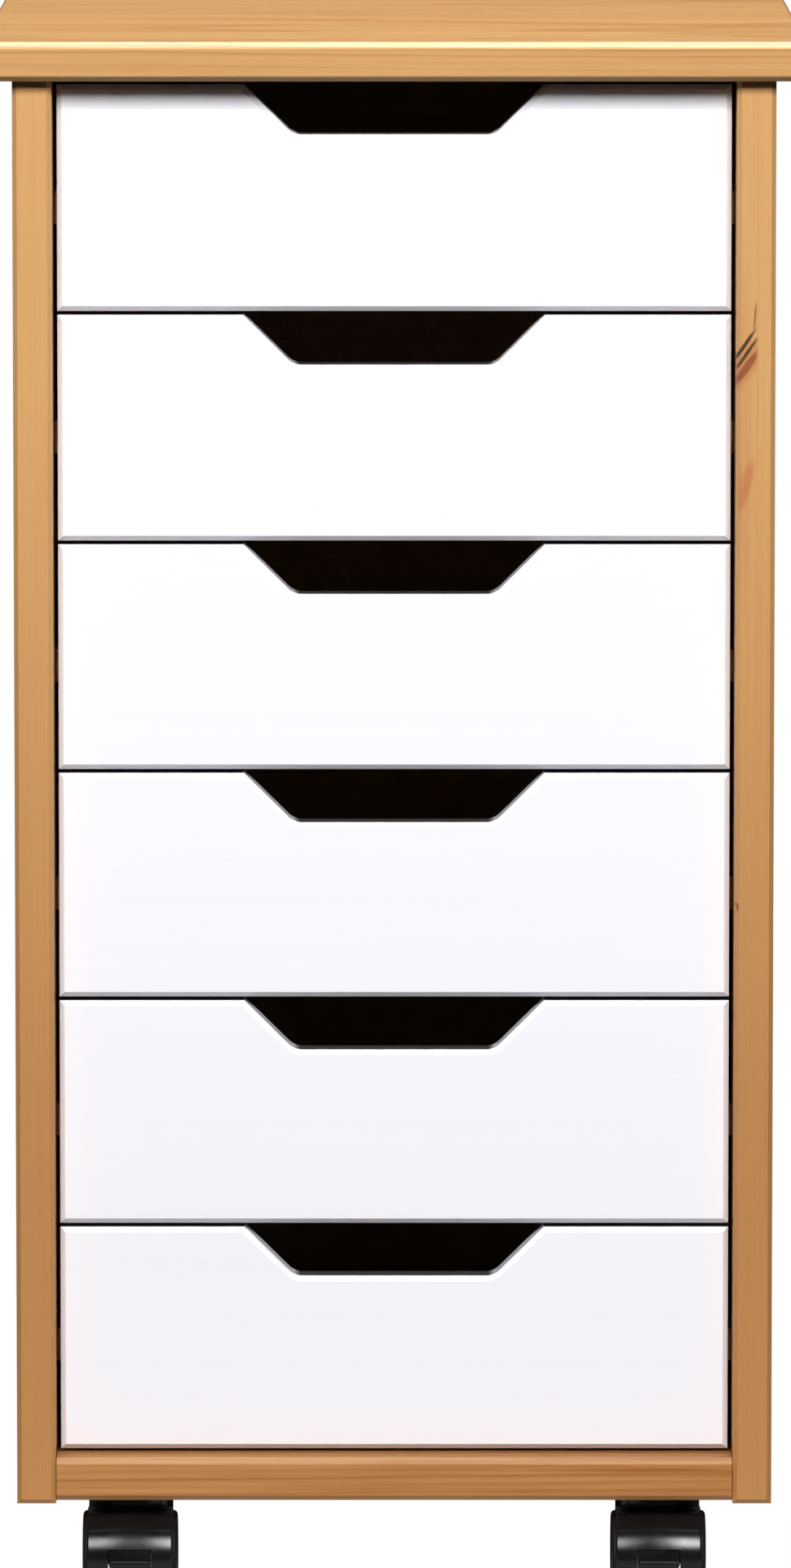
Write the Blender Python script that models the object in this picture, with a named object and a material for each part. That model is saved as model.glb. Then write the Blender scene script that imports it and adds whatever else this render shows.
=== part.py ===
"""A rolling drawer cart: a pine carcase with six lacquered drawers, standing on four twin-wheel castors.

Metres, +Z up, and the front faces -Y. The origin is on the floor, below the middle of the top panel.
"""

import math

import bmesh
import bpy
from mathutils import Matrix, Vector

# Clearances that many pieces share
seat_gap = 0.0003  # between pieces that rest on each other or are fastened together
overrun = 0.005  # how far a cutter runs past the face that it cuts
weld_distance = 1e-6

# Carcase
board = 0.018
base_board = 0.020
carcase_width = 0.350
carcase_depth = 0.360
top_overhang_side = 0.015
top_overhang_front = 0.015
top_overhang_rear = 0.001
top_upper_chamfer = 0.0027
top_lower_chamfer = 0.0024
side_chamfer = 0.0021
base_upper_chamfer = 0.0028
base_lower_chamfer = 0.0025
base_lift = 0.0015  # the base's underside stands this much above the lower ends of the sides
back_thickness = 0.004
back_inset = 0.002

# Drawer fronts
drawer_count = 6
front_height = 0.1044
front_thickness = 0.016
front_recess = 0.0155  # how far the fronts lie behind the carcase's front edges
front_side_gap = 0.002
front_gap = 0.0018  # between one front and the next
front_gap_below = 0.0017  # over the base
front_gap_above = 0.0029  # under the top panel
front_chamfer = 0.0024
cutout_top_width = 0.139
cutout_floor_width = 0.0925
cutout_depth = 0.023
cutout_corner_radius = 0.008

# Drawer boxes
box_inset = 0.001  # the box is this much narrower than its front at each side
box_board = 0.012
box_height = 0.078
box_lift = 0.008  # above the front's lower edge
box_rear_clearance = 0.012
box_round = 0.001
bottom_thickness = 0.0032
bottom_groove_depth = 0.005
bottom_rise = 0.007  # from the box's lower edge to the bottom's groove
runner_height = 0.015
runner_rise = 0.031  # from the box's lower edge to the runner
runner_groove_depth = 0.0065
runner_tip_play = 0.0005
runner_play_below = 0.0007
runner_rear_margin = 0.010
runner_seat = 0.003  # how deep a runner's tenon goes into the side panel

# Castors
castor_height = 0.0495  # floor to the base's underside
castor_inset_front = 0.043  # carcase front edge to the swivel axis
castor_inset_rear = 0.043
castor_inset_side = 0.034  # side panel to the swivel axis
castor_trail = 0.016  # the axle lies this far ahead of the swivel axis
plate_size = 0.046
plate_thickness = 0.002
plate_corner_radius = 0.006
plate_screw_pitch = 0.034
plate_screw_radius = 0.0022
swivel_radius = 0.0197
swivel_overlap = 0.001  # the swivel disc reaches this far down into the hood
neck_drop = 0.0068  # behind the hood's top, the neck reaches this far below the swivel disc
stem_radius = 0.004

# Castor wheels
wheel_radius = 0.020
castor_width = 0.044  # over both wheels
wheel_rim_inner = 0.011  # centre plane to the rim's inner face
wheel_rim_thickness = 0.0032
wheel_face_thickness = 0.004
wheel_edge_round = 0.002
wheel_dish = 0.0006  # how far the outer face is hollowed around its hub cap
hub_radius = 0.0055
cap_radius = 0.0065
axle_radius = 0.0022
axle_end_cover = 0.0028  # the wheel's material over the end of the axle

# Castor housing
hood_width = 0.0395
hood_edge_wall = 0.0012  # the wall at the hood's side edges, where it is thinnest
hood_clearance = 0.0008  # between a wheel's tread and the hood
hood_crown = 0.0010  # how much lower the hood is at its edges than in the middle
hood_edge_round = 0.0006
hood_front_angle = -22.0  # degrees round the axle: 0 is straight ahead, 90 straight up
hood_rear_angle = 160.0
web_width = 0.019
web_hub_radius = 0.0085
web_angle_inset = 4.0  # degrees by which the web stops short of each end of the hood
neck_seat_share = 0.75  # the neck sinks into the hood's wall down to this share of its thickness
neck_front = 0.012  # reach of the web's neck ahead of the swivel axis
neck_rear = 0.013

# Brake lever
slot_width = 0.020
slot_rise = 0.0056  # top of the hood's slot above the axle
slot_inset = 0.0045  # the slot is cut this much deeper than the hood's inner face
fork_width = 0.0106
fork_depth = 0.0072  # how far the fork runs back behind the lever's pin
lever_play = 0.0004
lever_sink = 0.0004  # the lever's shield lies this much below the hood's surface
lever_wall = 0.0013
pin_ahead = 0.0125  # lever pin ahead of the axle
pin_rise = 0.0005
pin_radius = 0.0015
knuckle_wall = 0.0012
arm_height = 0.0030
pedal_reach = 0.0042  # beyond the hood
pedal_rise = 0.0003
pedal_thickness = 0.0020
pedal_round = 0.0006

# How finely round forms are drawn
round_steps = 3
corner_steps = 5
crown_steps = 6
wheel_steps = 32
hood_steps = 22
disc_steps = 32
seat_steps = 64
hole_steps = 16
smooth_angle = math.radians(35.0)

# Places that follow from the sizes
opening_width = carcase_width - 2 * board
top_depth = top_overhang_front + carcase_depth + seat_gap + back_thickness + top_overhang_rear
carcase_front = -top_depth / 2 + top_overhang_front
carcase_rear = carcase_front + carcase_depth
back_front = carcase_rear + seat_gap
side_low = castor_height - base_lift
base_top = castor_height + base_board
fronts_height = drawer_count * front_height + (drawer_count - 1) * front_gap
side_high = base_top + front_gap_below + fronts_height + front_gap_above
front_width = opening_width - 2 * front_side_gap
front_face = carcase_front + front_recess
front_pitch = front_height + front_gap
box_width = front_width - 2 * box_inset
box_inner_width = box_width - 2 * box_board
box_length = carcase_rear - box_rear_clearance - front_face - front_thickness - seat_gap
bottom_groove_height = bottom_thickness + 2 * seat_gap
runner_reach = front_side_gap + box_inset + runner_groove_depth - runner_tip_play
axle_height = wheel_radius
hood_inner_radius = wheel_radius + hood_clearance
hood_radius = hood_inner_radius + hood_edge_wall + hood_crown
plate_top = castor_height - seat_gap
swivel_top = plate_top - plate_thickness - seat_gap
swivel_bottom = axle_height + hood_radius - swivel_overlap
pin_place = Vector((0, -castor_trail - pin_ahead, axle_height + pin_rise))


def clear_scene():
    for old in list(bpy.data.objects):
        bpy.data.objects.remove(old)


def material(name, rgb, roughness, metallic=0.0):
    made = bpy.data.materials.new(name)
    made.use_nodes = True
    shader = made.node_tree.nodes["Principled BSDF"]
    shader.inputs["Base Color"].default_value = (*rgb, 1.0)
    shader.inputs["Roughness"].default_value = roughness
    shader.inputs["Metallic"].default_value = metallic
    return made


def box(low, high):
    """A box between two corners."""
    bm = bmesh.new()
    low, high = Vector(low), Vector(high)
    bmesh.ops.create_cube(bm, size=1.0)
    bmesh.ops.scale(bm, vec=high - low, verts=bm.verts)
    bmesh.ops.translate(bm, vec=(high + low) / 2, verts=bm.verts)
    return bm


def face_out(bm):
    """Turns every face of a closed solid outwards, on a hollow form such as the hood too."""
    bmesh.ops.recalc_face_normals(bm, faces=bm.faces)
    if bm.calc_volume(signed=True) < 0:
        bmesh.ops.reverse_faces(bm, faces=bm.faces)
    return bm


def prism(points, along):
    """The solid that a flat outline sweeps when it moves along a vector."""
    bm = bmesh.new()
    face = bm.faces.new([bm.verts.new(point) for point in points])
    grown = bmesh.ops.extrude_face_region(bm, geom=[face])["geom"]
    moved = [item for item in grown if isinstance(item, bmesh.types.BMVert)]
    bmesh.ops.translate(bm, vec=along, verts=moved)
    return face_out(bm)


def across(outline, width):
    """A side view, as (y, z) points, made this wide across X."""
    return prism([Vector((-width / 2, y, z)) for y, z in outline], Vector((width, 0, 0)))


def rod(radius, start, end, steps):
    """A round bar between two points."""
    bm = bmesh.new()
    start, end = Vector(start), Vector(end)
    length = (end - start).length
    bmesh.ops.create_cone(
        bm, cap_ends=True, segments=steps, radius1=radius, radius2=radius, depth=length
    )
    turn = (end - start).to_track_quat("Z", "Y").to_matrix().to_4x4()
    bmesh.ops.transform(bm, matrix=Matrix.Translation((start + end) / 2) @ turn, verts=bm.verts)
    return bm


def ring_point(along, radius, degrees):
    """A point round the X axis: 0 degrees is ahead, at -Y, and 90 degrees is up."""
    angle = math.radians(degrees)
    return Vector((along, -radius * math.cos(angle), radius * math.sin(angle)))


def full_turn(profile, steps):
    """Turns a profile of (place along X, radius), from axis to axis, right round. A flat facet lies below."""
    half_step = 180.0 / steps
    flat_scale = 1 / math.cos(math.radians(half_step))
    bm = bmesh.new()
    verts = [bm.verts.new(ring_point(along, radius * flat_scale, half_step)) for along, radius in profile]
    edges = [bm.edges.new(pair) for pair in zip(verts, verts[1:])]
    bmesh.ops.spin(
        bm, geom=verts + edges, axis=(-1, 0, 0), angle=math.tau, steps=steps, use_merge=True
    )
    bmesh.ops.remove_doubles(bm, verts=bm.verts, dist=weld_distance)
    return face_out(bm)


def part_turn(profile, steps, first, last):
    """Turns a closed profile of (place along X, radius) from one angle to another, with flat ends."""
    bm = bmesh.new()
    face = bm.faces.new([bm.verts.new(ring_point(along, radius, first)) for along, radius in profile])
    sweep = math.radians(last - first)
    bmesh.ops.spin(bm, geom=[face], axis=(-1, 0, 0), angle=sweep, steps=steps)
    return face_out(bm)


def moved(bm, offset):
    bmesh.ops.translate(bm, vec=offset, verts=bm.verts)
    return bm


def round_edges(bm, radius, chosen, steps=round_steps):
    """Rounds the edges whose middle point passes a test."""
    edges = [edge for edge in bm.edges if chosen((edge.verts[0].co + edge.verts[1].co) / 2)]
    bmesh.ops.bevel(
        bm, geom=edges, offset=radius, segments=steps, profile=0.5, affect="EDGES", material=-1
    )
    return bm


def chamfer(bm, size, chosen):
    """Cuts a flat facet along the edges whose middle point passes a test."""
    return round_edges(bm, size, chosen, steps=1)


def near(value, place):
    return abs(value - place) < weld_distance


def loose_object(bm):
    mesh = bpy.data.meshes.new("tool")
    bm.to_mesh(mesh)
    bm.free()
    made = bpy.data.objects.new("tool", mesh)
    bpy.context.collection.objects.link(made)
    return made


def combined(base, joined=(), cut=()):
    """Joins solids to a base, then cuts others from it."""
    result = loose_object(base)
    tools = [("UNION", loose_object(bm)) for bm in joined]
    tools += [("DIFFERENCE", loose_object(bm)) for bm in cut]
    for operation, tool in tools:
        modifier = result.modifiers.new(operation, "BOOLEAN")
        modifier.operation = operation
        modifier.object = tool
    graph = bpy.context.evaluated_depsgraph_get()
    mesh = bpy.data.meshes.new_from_object(result.evaluated_get(graph))
    bm = bmesh.new()
    bm.from_mesh(mesh)
    bpy.data.meshes.remove(mesh)
    for helper in [result] + [tool for _, tool in tools]:
        bpy.data.meshes.remove(helper.data)
    return bm


def finished(name, bm, finish):
    """The mesh of a piece, shaded smooth where it is round."""
    mesh = bpy.data.meshes.new(name)
    bm.to_mesh(mesh)
    bm.free()
    mesh.materials.append(finish)
    mesh.shade_smooth()
    mesh.set_sharp_from_angle(angle=smooth_angle)
    return mesh


def place(name, mesh, parent=None, location=(0, 0, 0), turn=0.0):
    made = bpy.data.objects.new(name, mesh)
    bpy.context.collection.objects.link(made)
    made.parent = parent
    made.location = location
    made.rotation_euler.z = turn
    return made


def fillet(before, corner, after, radius):
    """The points of an arc that rounds a corner of an outline."""
    before, corner, after = Vector(before), Vector(corner), Vector(after)
    back = (before - corner).normalized()
    on = (after - corner).normalized()
    half = back.angle(on) / 2
    reach = radius / math.tan(half)
    centre = corner + (back + on).normalized() * radius / math.sin(half)
    first = corner + back * reach - centre
    last = corner + on * reach - centre
    shares = [step / corner_steps for step in range(corner_steps + 1)]
    return [centre + radius * first.slerp(last, share).normalized() for share in shares]


def make_top(finish):
    """The top panel, with a chamfer above and below."""
    half_width = carcase_width / 2 + top_overhang_side
    bm = box((-half_width, -top_depth / 2, 0), (half_width, top_depth / 2, board))
    chamfer(bm, top_upper_chamfer, lambda middle: near(middle.z, board))
    chamfer(bm, top_lower_chamfer, lambda middle: near(middle.z, 0))
    place("top_panel", finished("top_panel", bm, finish), location=(0, 0, side_high + seat_gap))


def runner_low(index):
    """Height of a runner's lower face. Index 0 is the lowest drawer."""
    return base_top + front_gap_below + index * front_pitch + box_lift + runner_rise


def make_side(name, side, finish):
    """A side panel, with a runner strip tenoned into it for each drawer. side is -1 or 1: left or right."""
    inner, outer = side * opening_width / 2, side * carcase_width / 2
    bm = box(
        (min(inner, outer), carcase_front, side_low), (max(inner, outer), carcase_rear, side_high)
    )
    chamfer(bm, side_chamfer, lambda middle: near(middle.y, carcase_front) and not near(middle.z, side_high))
    runner_front = front_face + front_thickness + seat_gap
    runner_end = carcase_rear - runner_rear_margin
    tip, root = inner - side * runner_reach, inner + side * runner_seat
    runners = [
        box(
            (min(tip, root), runner_front, runner_low(index)),
            (max(tip, root), runner_end, runner_low(index) + runner_height),
        )
        for index in range(drawer_count)
    ]
    place(name, finished(name, combined(bm, joined=runners), finish))


def make_base(finish):
    half_width = opening_width / 2 - seat_gap
    bm = box((-half_width, carcase_front, castor_height), (half_width, carcase_rear, base_top))
    for height, size in ((base_top, base_upper_chamfer), (castor_height, base_lower_chamfer)):
        chamfer(bm, size, lambda middle: near(middle.y, carcase_front) and near(middle.z, height))
    place("base_panel", finished("base_panel", bm, finish))


def make_back(finish):
    half_width = carcase_width / 2 - back_inset
    low = (-half_width, back_front, side_low + back_inset)
    high = (half_width, back_front + back_thickness, side_high)
    place("back_panel", finished("back_panel", box(low, high), finish))


def cutout_outline():
    """The finger cutout's outline along the front's top edge, from left to right, as (x, z)."""
    top_left = (-cutout_top_width / 2, front_height)
    floor_left = (-cutout_floor_width / 2, front_height - cutout_depth)
    floor_right = (cutout_floor_width / 2, front_height - cutout_depth)
    left = fillet(top_left, floor_left, floor_right, cutout_corner_radius)
    right = [Vector((-point.x, point.y)) for point in reversed(left)]
    return [Vector(top_left)] + left + right + [Vector((cutout_top_width / 2, front_height))]


def front_mesh(finish):
    """A drawer front with its finger cutout, grooved behind for the bottom. The origin is low in the middle."""
    half_width = front_width / 2
    right_edge = [(half_width, front_height), (half_width, 0)]
    left_edge = [(-half_width, 0), (-half_width, front_height)]
    outline = [Vector((x, 0, z)) for x, z in cutout_outline() + right_edge + left_edge]
    bm = prism(outline, Vector((0, front_thickness, 0)))
    chamfer(bm, front_chamfer, lambda middle: near(middle.y, 0))
    groove_low = box_lift + bottom_rise
    half_groove = box_inner_width / 2 + bottom_groove_depth
    groove = box(
        (-half_groove, front_thickness - bottom_groove_depth, groove_low),
        (half_groove, front_thickness + overrun, groove_low + bottom_groove_height),
    )
    return finished("drawer_front", combined(bm, cut=[groove]), finish)


def box_side_mesh(side, finish):
    """A drawer's side board, grooved outside for the runner and inside for the bottom."""
    inner, outer = side * box_inner_width / 2, side * box_width / 2
    bm = box((min(inner, outer), 0, 0), (max(inner, outer), box_length, box_height))
    round_edges(bm, box_round, lambda middle: near(middle.z, box_height) and not near(middle.y, 0))
    channel = [outer - side * runner_groove_depth, outer + side * overrun]
    runner_groove = box(
        (min(channel), -overrun, runner_rise - runner_play_below),
        (max(channel), box_length + overrun, runner_rise + runner_height + seat_gap),
    )
    slot = [inner + side * bottom_groove_depth, inner - side * overrun]
    bottom_groove = box(
        (min(slot), -overrun, bottom_rise),
        (max(slot), box_length + overrun, bottom_rise + bottom_groove_height),
    )
    return finished("drawer_side", combined(bm, cut=[runner_groove, bottom_groove]), finish)


def box_back_mesh(finish):
    """A drawer's back board, which stands on the bottom between the two sides."""
    half_width = box_inner_width / 2 - seat_gap
    low = bottom_rise + bottom_groove_height
    bm = box((-half_width, box_length - box_board, low), (half_width, box_length, box_height))
    round_edges(bm, box_round, lambda middle: near(middle.z, box_height) and near(middle.x, 0))
    return finished("drawer_back", bm, finish)


def box_bottom_mesh(finish):
    """A drawer's bottom, which lies in the grooves of the sides and of the front."""
    half_width = box_inner_width / 2 + bottom_groove_depth - seat_gap
    low = bottom_rise + seat_gap
    bm = box((-half_width, -bottom_groove_depth, low), (half_width, box_length, low + bottom_thickness))
    return finished("drawer_bottom", bm, finish)


def make_drawers(lacquer, box_wood, hardboard):
    """The drawers, numbered from the top. Each hangs on an empty at the middle of its front's lower edge."""
    front = front_mesh(lacquer)
    pieces = {
        "side_left": box_side_mesh(-1, box_wood),
        "side_right": box_side_mesh(1, box_wood),
        "back": box_back_mesh(box_wood),
        "bottom": box_bottom_mesh(hardboard),
    }
    for index in range(drawer_count):
        name = f"drawer_{drawer_count - index}"
        low = base_top + front_gap_below + index * front_pitch
        slide = place(f"{name}_slide", None, location=(0, front_face, low))
        place(f"{name}_front", front, slide)
        for piece, mesh in pieces.items():
            behind = (0, front_thickness + seat_gap, box_lift)
            place(f"{name}_{piece}", mesh, slide, behind)


def plate_mesh(finish):
    """A castor's screw plate, with its origin on the swivel axis at floor height."""
    half = plate_size / 2
    low = plate_top - plate_thickness
    bm = box((-half, -half, low), (half, half, plate_top))
    mid_height = (low + plate_top) / 2
    round_edges(bm, plate_corner_radius, lambda middle: near(middle.z, mid_height), corner_steps)
    half_pitch = plate_screw_pitch / 2
    holes = [(0, 0, stem_radius + seat_gap)]
    holes += [(x * half_pitch, y * half_pitch, plate_screw_radius) for x in (-1, 1) for y in (-1, 1)]
    drills = [
        rod(radius, (x, y, low - overrun), (x, y, plate_top + overrun), hole_steps)
        for x, y, radius in holes
    ]
    return finished("castor_plate", combined(bm, cut=drills), finish)


def wheel_mesh(finish):
    """A castor wheel: dished outside round a hub cap, hollow inside between hub and rim."""
    face = castor_width / 2
    bore = axle_radius + seat_gap
    rim_inside = wheel_radius - wheel_rim_thickness
    profile = [
        (face - wheel_dish / 2, 0),
        (face - wheel_dish / 2, cap_radius - wheel_dish),
        (face - wheel_dish, cap_radius),
        (face, wheel_radius - wheel_edge_round),
        (face - wheel_edge_round, wheel_radius),
        (wheel_rim_inner, wheel_radius),
        (wheel_rim_inner, rim_inside),
        (face - wheel_face_thickness, rim_inside),
        (face - wheel_face_thickness, hub_radius),
        (web_width / 2 + seat_gap, hub_radius),
        (web_width / 2 + seat_gap, bore),
        (face - axle_end_cover, bore),
        (face - axle_end_cover, 0),
    ]
    return finished("castor_wheel", full_turn(profile, wheel_steps), finish)


def axle_mesh(finish):
    reach = castor_width / 2 - axle_end_cover - seat_gap
    return finished("castor_axle", rod(axle_radius, (-reach, 0, 0), (reach, 0, 0), hole_steps), finish)


def hood_profile():
    """The crowned hood across its width, as (place along X, radius)."""
    half = hood_width / 2
    shares = [2 * step / crown_steps - 1 for step in range(crown_steps + 1)]
    outer = [(share * (half - hood_edge_round), hood_radius - hood_crown * share**2) for share in shares]
    edge = hood_radius - hood_crown - hood_edge_round
    inside = [(half, hood_inner_radius), (-half, hood_inner_radius)]
    return [(-half, edge)] + outer + [(half, edge)] + inside


def around_axle(radius, degrees):
    """A point of a castor's side view, as (y, z), by its angle round the axle."""
    point = ring_point(0, radius, degrees)
    return (point.y - castor_trail, point.z + axle_height)


def web_outline():
    """Side view of the housing's middle: a sector under the hood, with a neck up to the swivel disc."""
    radius = hood_inner_radius + hood_edge_wall / 2
    neck_angle = math.degrees(math.acos((neck_front - castor_trail) / radius))
    first = hood_front_angle + web_angle_inset
    angles = [first + (neck_angle - first) * step / hood_steps for step in range(hood_steps + 1)]
    neck_top = (swivel_bottom + swivel_top) / 2
    rear = around_axle(radius, hood_rear_angle - web_angle_inset)
    return (
        [(-castor_trail, axle_height)]
        + [around_axle(radius, angle) for angle in angles]
        + [(-neck_front, neck_top), (neck_rear, neck_top), rear]
    )


def neck_solid(axle):
    """The swivel disc and the round neck below it, hollowed to sit on the hood."""
    neck = rod(swivel_radius, (0, 0, swivel_bottom - neck_drop), (0, 0, swivel_top), disc_steps)
    seat_radius = hood_inner_radius + hood_edge_wall * neck_seat_share
    reach = Vector((castor_width, 0, 0))
    return combined(neck, cut=[rod(seat_radius, axle - reach, axle + reach, seat_steps)])


def housing_mesh(braked, finish):
    """A castor's housing: hood, web, neck and stem. A braked one has a slot and fork for its lever."""
    axle = Vector((0, -castor_trail, axle_height))
    hood = moved(part_turn(hood_profile(), hood_steps, hood_front_angle, hood_rear_angle), axle)
    web = across(web_outline(), web_width)
    half_web = Vector((web_width / 2, 0, 0))
    hub = rod(web_hub_radius, axle - half_web, axle + half_web, disc_steps)
    stem = rod(stem_radius, (0, 0, swivel_bottom), (0, 0, plate_top), hole_steps)
    bore_reach = half_web + Vector((overrun, 0, 0))
    bore = rod(axle_radius + seat_gap, axle - bore_reach, axle + bore_reach, hole_steps)
    body = combined(hood, joined=[web, hub, neck_solid(axle), stem], cut=[bore])
    if braked:
        ahead = -castor_trail - hood_radius - overrun
        low, high = 0, axle_height + slot_rise
        slot_back = -castor_trail - hood_inner_radius + slot_inset
        fork_back = pin_place.y + fork_depth
        slot = box((-slot_width / 2, ahead, low), (slot_width / 2, slot_back, high))
        fork = box((-fork_width / 2, ahead, low), (fork_width / 2, fork_back, high))
        body = combined(body, cut=[slot, fork])
        half_pin = Vector(((fork_width + web_width) / 4, 0, 0))
        pin = rod(pin_radius, pin_place - half_pin, pin_place + half_pin, hole_steps)
        body = combined(body, joined=[pin])
    return finished("castor_housing", body, finish)


def lever_outline():
    """Side view of the brake lever's shield and pedal, as (y, z)."""
    outer = hood_radius - hood_crown - lever_sink
    inner = outer - lever_wall
    top_angle = math.degrees(math.asin((slot_rise - lever_play) / outer))
    root_angle = math.degrees(math.asin(pedal_rise / outer))
    low_angle = math.degrees(math.asin((pedal_rise - pedal_thickness) / inner))
    tip = -castor_trail - hood_radius - pedal_reach
    pedal_top = axle_height + pedal_rise
    shares = [step / corner_steps for step in range(corner_steps + 1)]
    shield = [around_axle(outer, top_angle + (root_angle - top_angle) * share) for share in shares]
    behind = [around_axle(inner, low_angle + (top_angle - low_angle) * share) for share in shares]
    return shield + [(tip, pedal_top), (tip, pedal_top - pedal_thickness)] + behind


def lever_mesh(finish):
    """A brake lever, with its origin on its pin."""
    bm = across(lever_outline(), slot_width - 2 * lever_play)
    tip = -castor_trail - hood_radius - pedal_reach
    round_edges(bm, pedal_round, lambda middle: near(middle.y, tip))
    knuckle_radius = pin_radius + seat_gap + knuckle_wall
    half = Vector((fork_width / 2 - lever_play, 0, 0))
    knuckle = rod(knuckle_radius, pin_place - half, pin_place + half, hole_steps)
    shield_middle = -castor_trail - hood_radius + hood_crown + lever_sink + lever_wall / 2
    half_arm = Vector((0, 0, arm_height / 2))
    arm = box(
        Vector((-half.x, shield_middle, pin_place.z)) - half_arm,
        Vector((half.x, pin_place.y, pin_place.z)) + half_arm,
    )
    bore_reach = half + Vector((overrun, 0, 0))
    bore = rod(pin_radius + seat_gap, pin_place - bore_reach, pin_place + bore_reach, hole_steps)
    lever = combined(bm, joined=[arm, knuckle], cut=[bore])
    return finished("brake_lever", moved(lever, -pin_place), finish)


def make_castors(plastic, tread, steel):
    """Four castors, the front pair braked. Each turns on an empty on its swivel axis."""
    plate = plate_mesh(steel)
    wheel = wheel_mesh(tread)
    axle = axle_mesh(steel)
    housings = {True: housing_mesh(True, plastic), False: housing_mesh(False, plastic)}
    lever = lever_mesh(plastic)
    reach = opening_width / 2 - castor_inset_side
    rows = {"front": carcase_front + castor_inset_front, "rear": carcase_rear - castor_inset_rear}
    axle_place = (0, -castor_trail, axle_height)
    for row, y in rows.items():
        for side, x in (("left", -reach), ("right", reach)):
            name = f"castor_{row}_{side}"
            place(f"{name}_plate", plate, location=(x, y, 0))
            swivel = place(f"{name}_swivel", None, location=(x, y, 0))
            place(f"{name}_housing", housings[row == "front"], swivel)
            place(f"{name}_axle", axle, swivel, axle_place)
            place(f"{name}_wheel_left", wheel, swivel, axle_place, turn=math.pi)
            place(f"{name}_wheel_right", wheel, swivel, axle_place)
            if row == "front":
                place(f"{name}_brake_lever", lever, swivel, pin_place)


def main():
    clear_scene()
    pine = material("honey pine", (0.66, 0.40, 0.16), 0.45)
    lacquer = material("white lacquer", (0.88, 0.88, 0.90), 0.35)
    box_wood = material("plain pine", (0.74, 0.56, 0.34), 0.6)
    hardboard = material("hardboard", (0.36, 0.22, 0.12), 0.7)
    plastic = material("black plastic", (0.015, 0.015, 0.018), 0.25)
    tread = material("black wheel plastic", (0.010, 0.010, 0.010), 0.5)
    steel = material("zinc plated steel", (0.62, 0.62, 0.60), 0.35, metallic=1.0)

    make_top(pine)
    make_side("side_panel_left", -1, pine)
    make_side("side_panel_right", 1, pine)
    make_base(pine)
    make_back(hardboard)
    make_drawers(lacquer, box_wood, hardboard)
    make_castors(plastic, tread, steel)


main()
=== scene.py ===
# %% [markdown]
# # A rolling drawer cart
# The cart is a narrow pine carcase with six white drawers, standing on four twin-wheel castors. Its boards,
# castors and joints are already modelled to size. This lesson gives them their looks: finer rounds, turned
# and moulded parts, fasteners, materials, light and a camera. Every place below is read from that model.

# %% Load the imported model
import math

import bmesh
import bpy
from mathutils import Matrix, Vector


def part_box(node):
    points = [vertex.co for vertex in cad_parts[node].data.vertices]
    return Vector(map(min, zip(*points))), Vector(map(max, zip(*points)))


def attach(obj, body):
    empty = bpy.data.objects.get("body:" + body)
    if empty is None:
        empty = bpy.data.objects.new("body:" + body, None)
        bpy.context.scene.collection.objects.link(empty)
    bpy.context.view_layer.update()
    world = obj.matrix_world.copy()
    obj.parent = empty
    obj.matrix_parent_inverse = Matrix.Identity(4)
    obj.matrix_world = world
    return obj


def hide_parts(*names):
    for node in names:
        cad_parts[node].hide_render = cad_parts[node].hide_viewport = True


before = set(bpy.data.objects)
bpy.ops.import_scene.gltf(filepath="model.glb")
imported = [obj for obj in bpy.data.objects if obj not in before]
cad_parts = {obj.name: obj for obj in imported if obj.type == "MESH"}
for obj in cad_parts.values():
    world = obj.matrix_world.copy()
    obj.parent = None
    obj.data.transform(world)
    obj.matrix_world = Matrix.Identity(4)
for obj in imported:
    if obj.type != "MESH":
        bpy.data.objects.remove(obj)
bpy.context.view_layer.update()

# %% [markdown]
# ## Camera
# The picture is a product view with a long lens, taken a little above the top. Its uprights stay upright,
# and lines that run from front to back meet high above the frame, at the horizon's row. That row fixes how
# far the camera stands above the point that it looks at. The long lens needs no lens shift.

# %% Camera
photo_height = 1924  # pixels
metres_per_pixel = 0.0003776  # at the front edges of the carcase
horizon_row = -837
camera_distance = 5.5
camera_side = 0.0006
lens = 276.0  # mm
aim_height = 0.385



def scene_object(name, data):
    made = bpy.data.objects.new(name, data)
    bpy.context.scene.collection.objects.link(made)
    return made


front_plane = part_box("base_panel")[0].y
rise = (photo_height / 2 - horizon_row) * metres_per_pixel
camera = scene_object("photo_camera", bpy.data.cameras.new("photo_camera"))
camera.data.lens = lens
camera.location = (camera_side, front_plane - camera_distance, aim_height + rise)
camera.rotation_euler = (math.pi / 2 - math.atan2(rise, camera_distance), 0, 0)
bpy.context.scene.camera = camera
print("camera height:", round(camera.location.z, 3))

# %% [markdown]
# ## Short calls for shader nodes
# A procedural material is a graph of many small nodes, and placing each by hand takes four lines. So each
# call of Nodes adds one node and returns its output as a Value, and each + - * or / between Values adds a
# Math node. A formula then reads as it would on paper.


# %% Helpers that add shader nodes
class Value:
    """One output of a node, for use in a formula."""

    def __init__(self, nodes, socket):
        self.nodes = nodes
        self.socket = socket

    def __add__(self, other):
        return self.nodes.math("ADD", self, other)

    def __sub__(self, other):
        return self.nodes.math("SUBTRACT", self, other)

    def __rsub__(self, other):
        return self.nodes.math("SUBTRACT", other, self)

    def __mul__(self, other):
        return self.nodes.math("MULTIPLY", self, other)

    def __truediv__(self, other):
        return self.nodes.math("DIVIDE", self, other)


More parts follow.
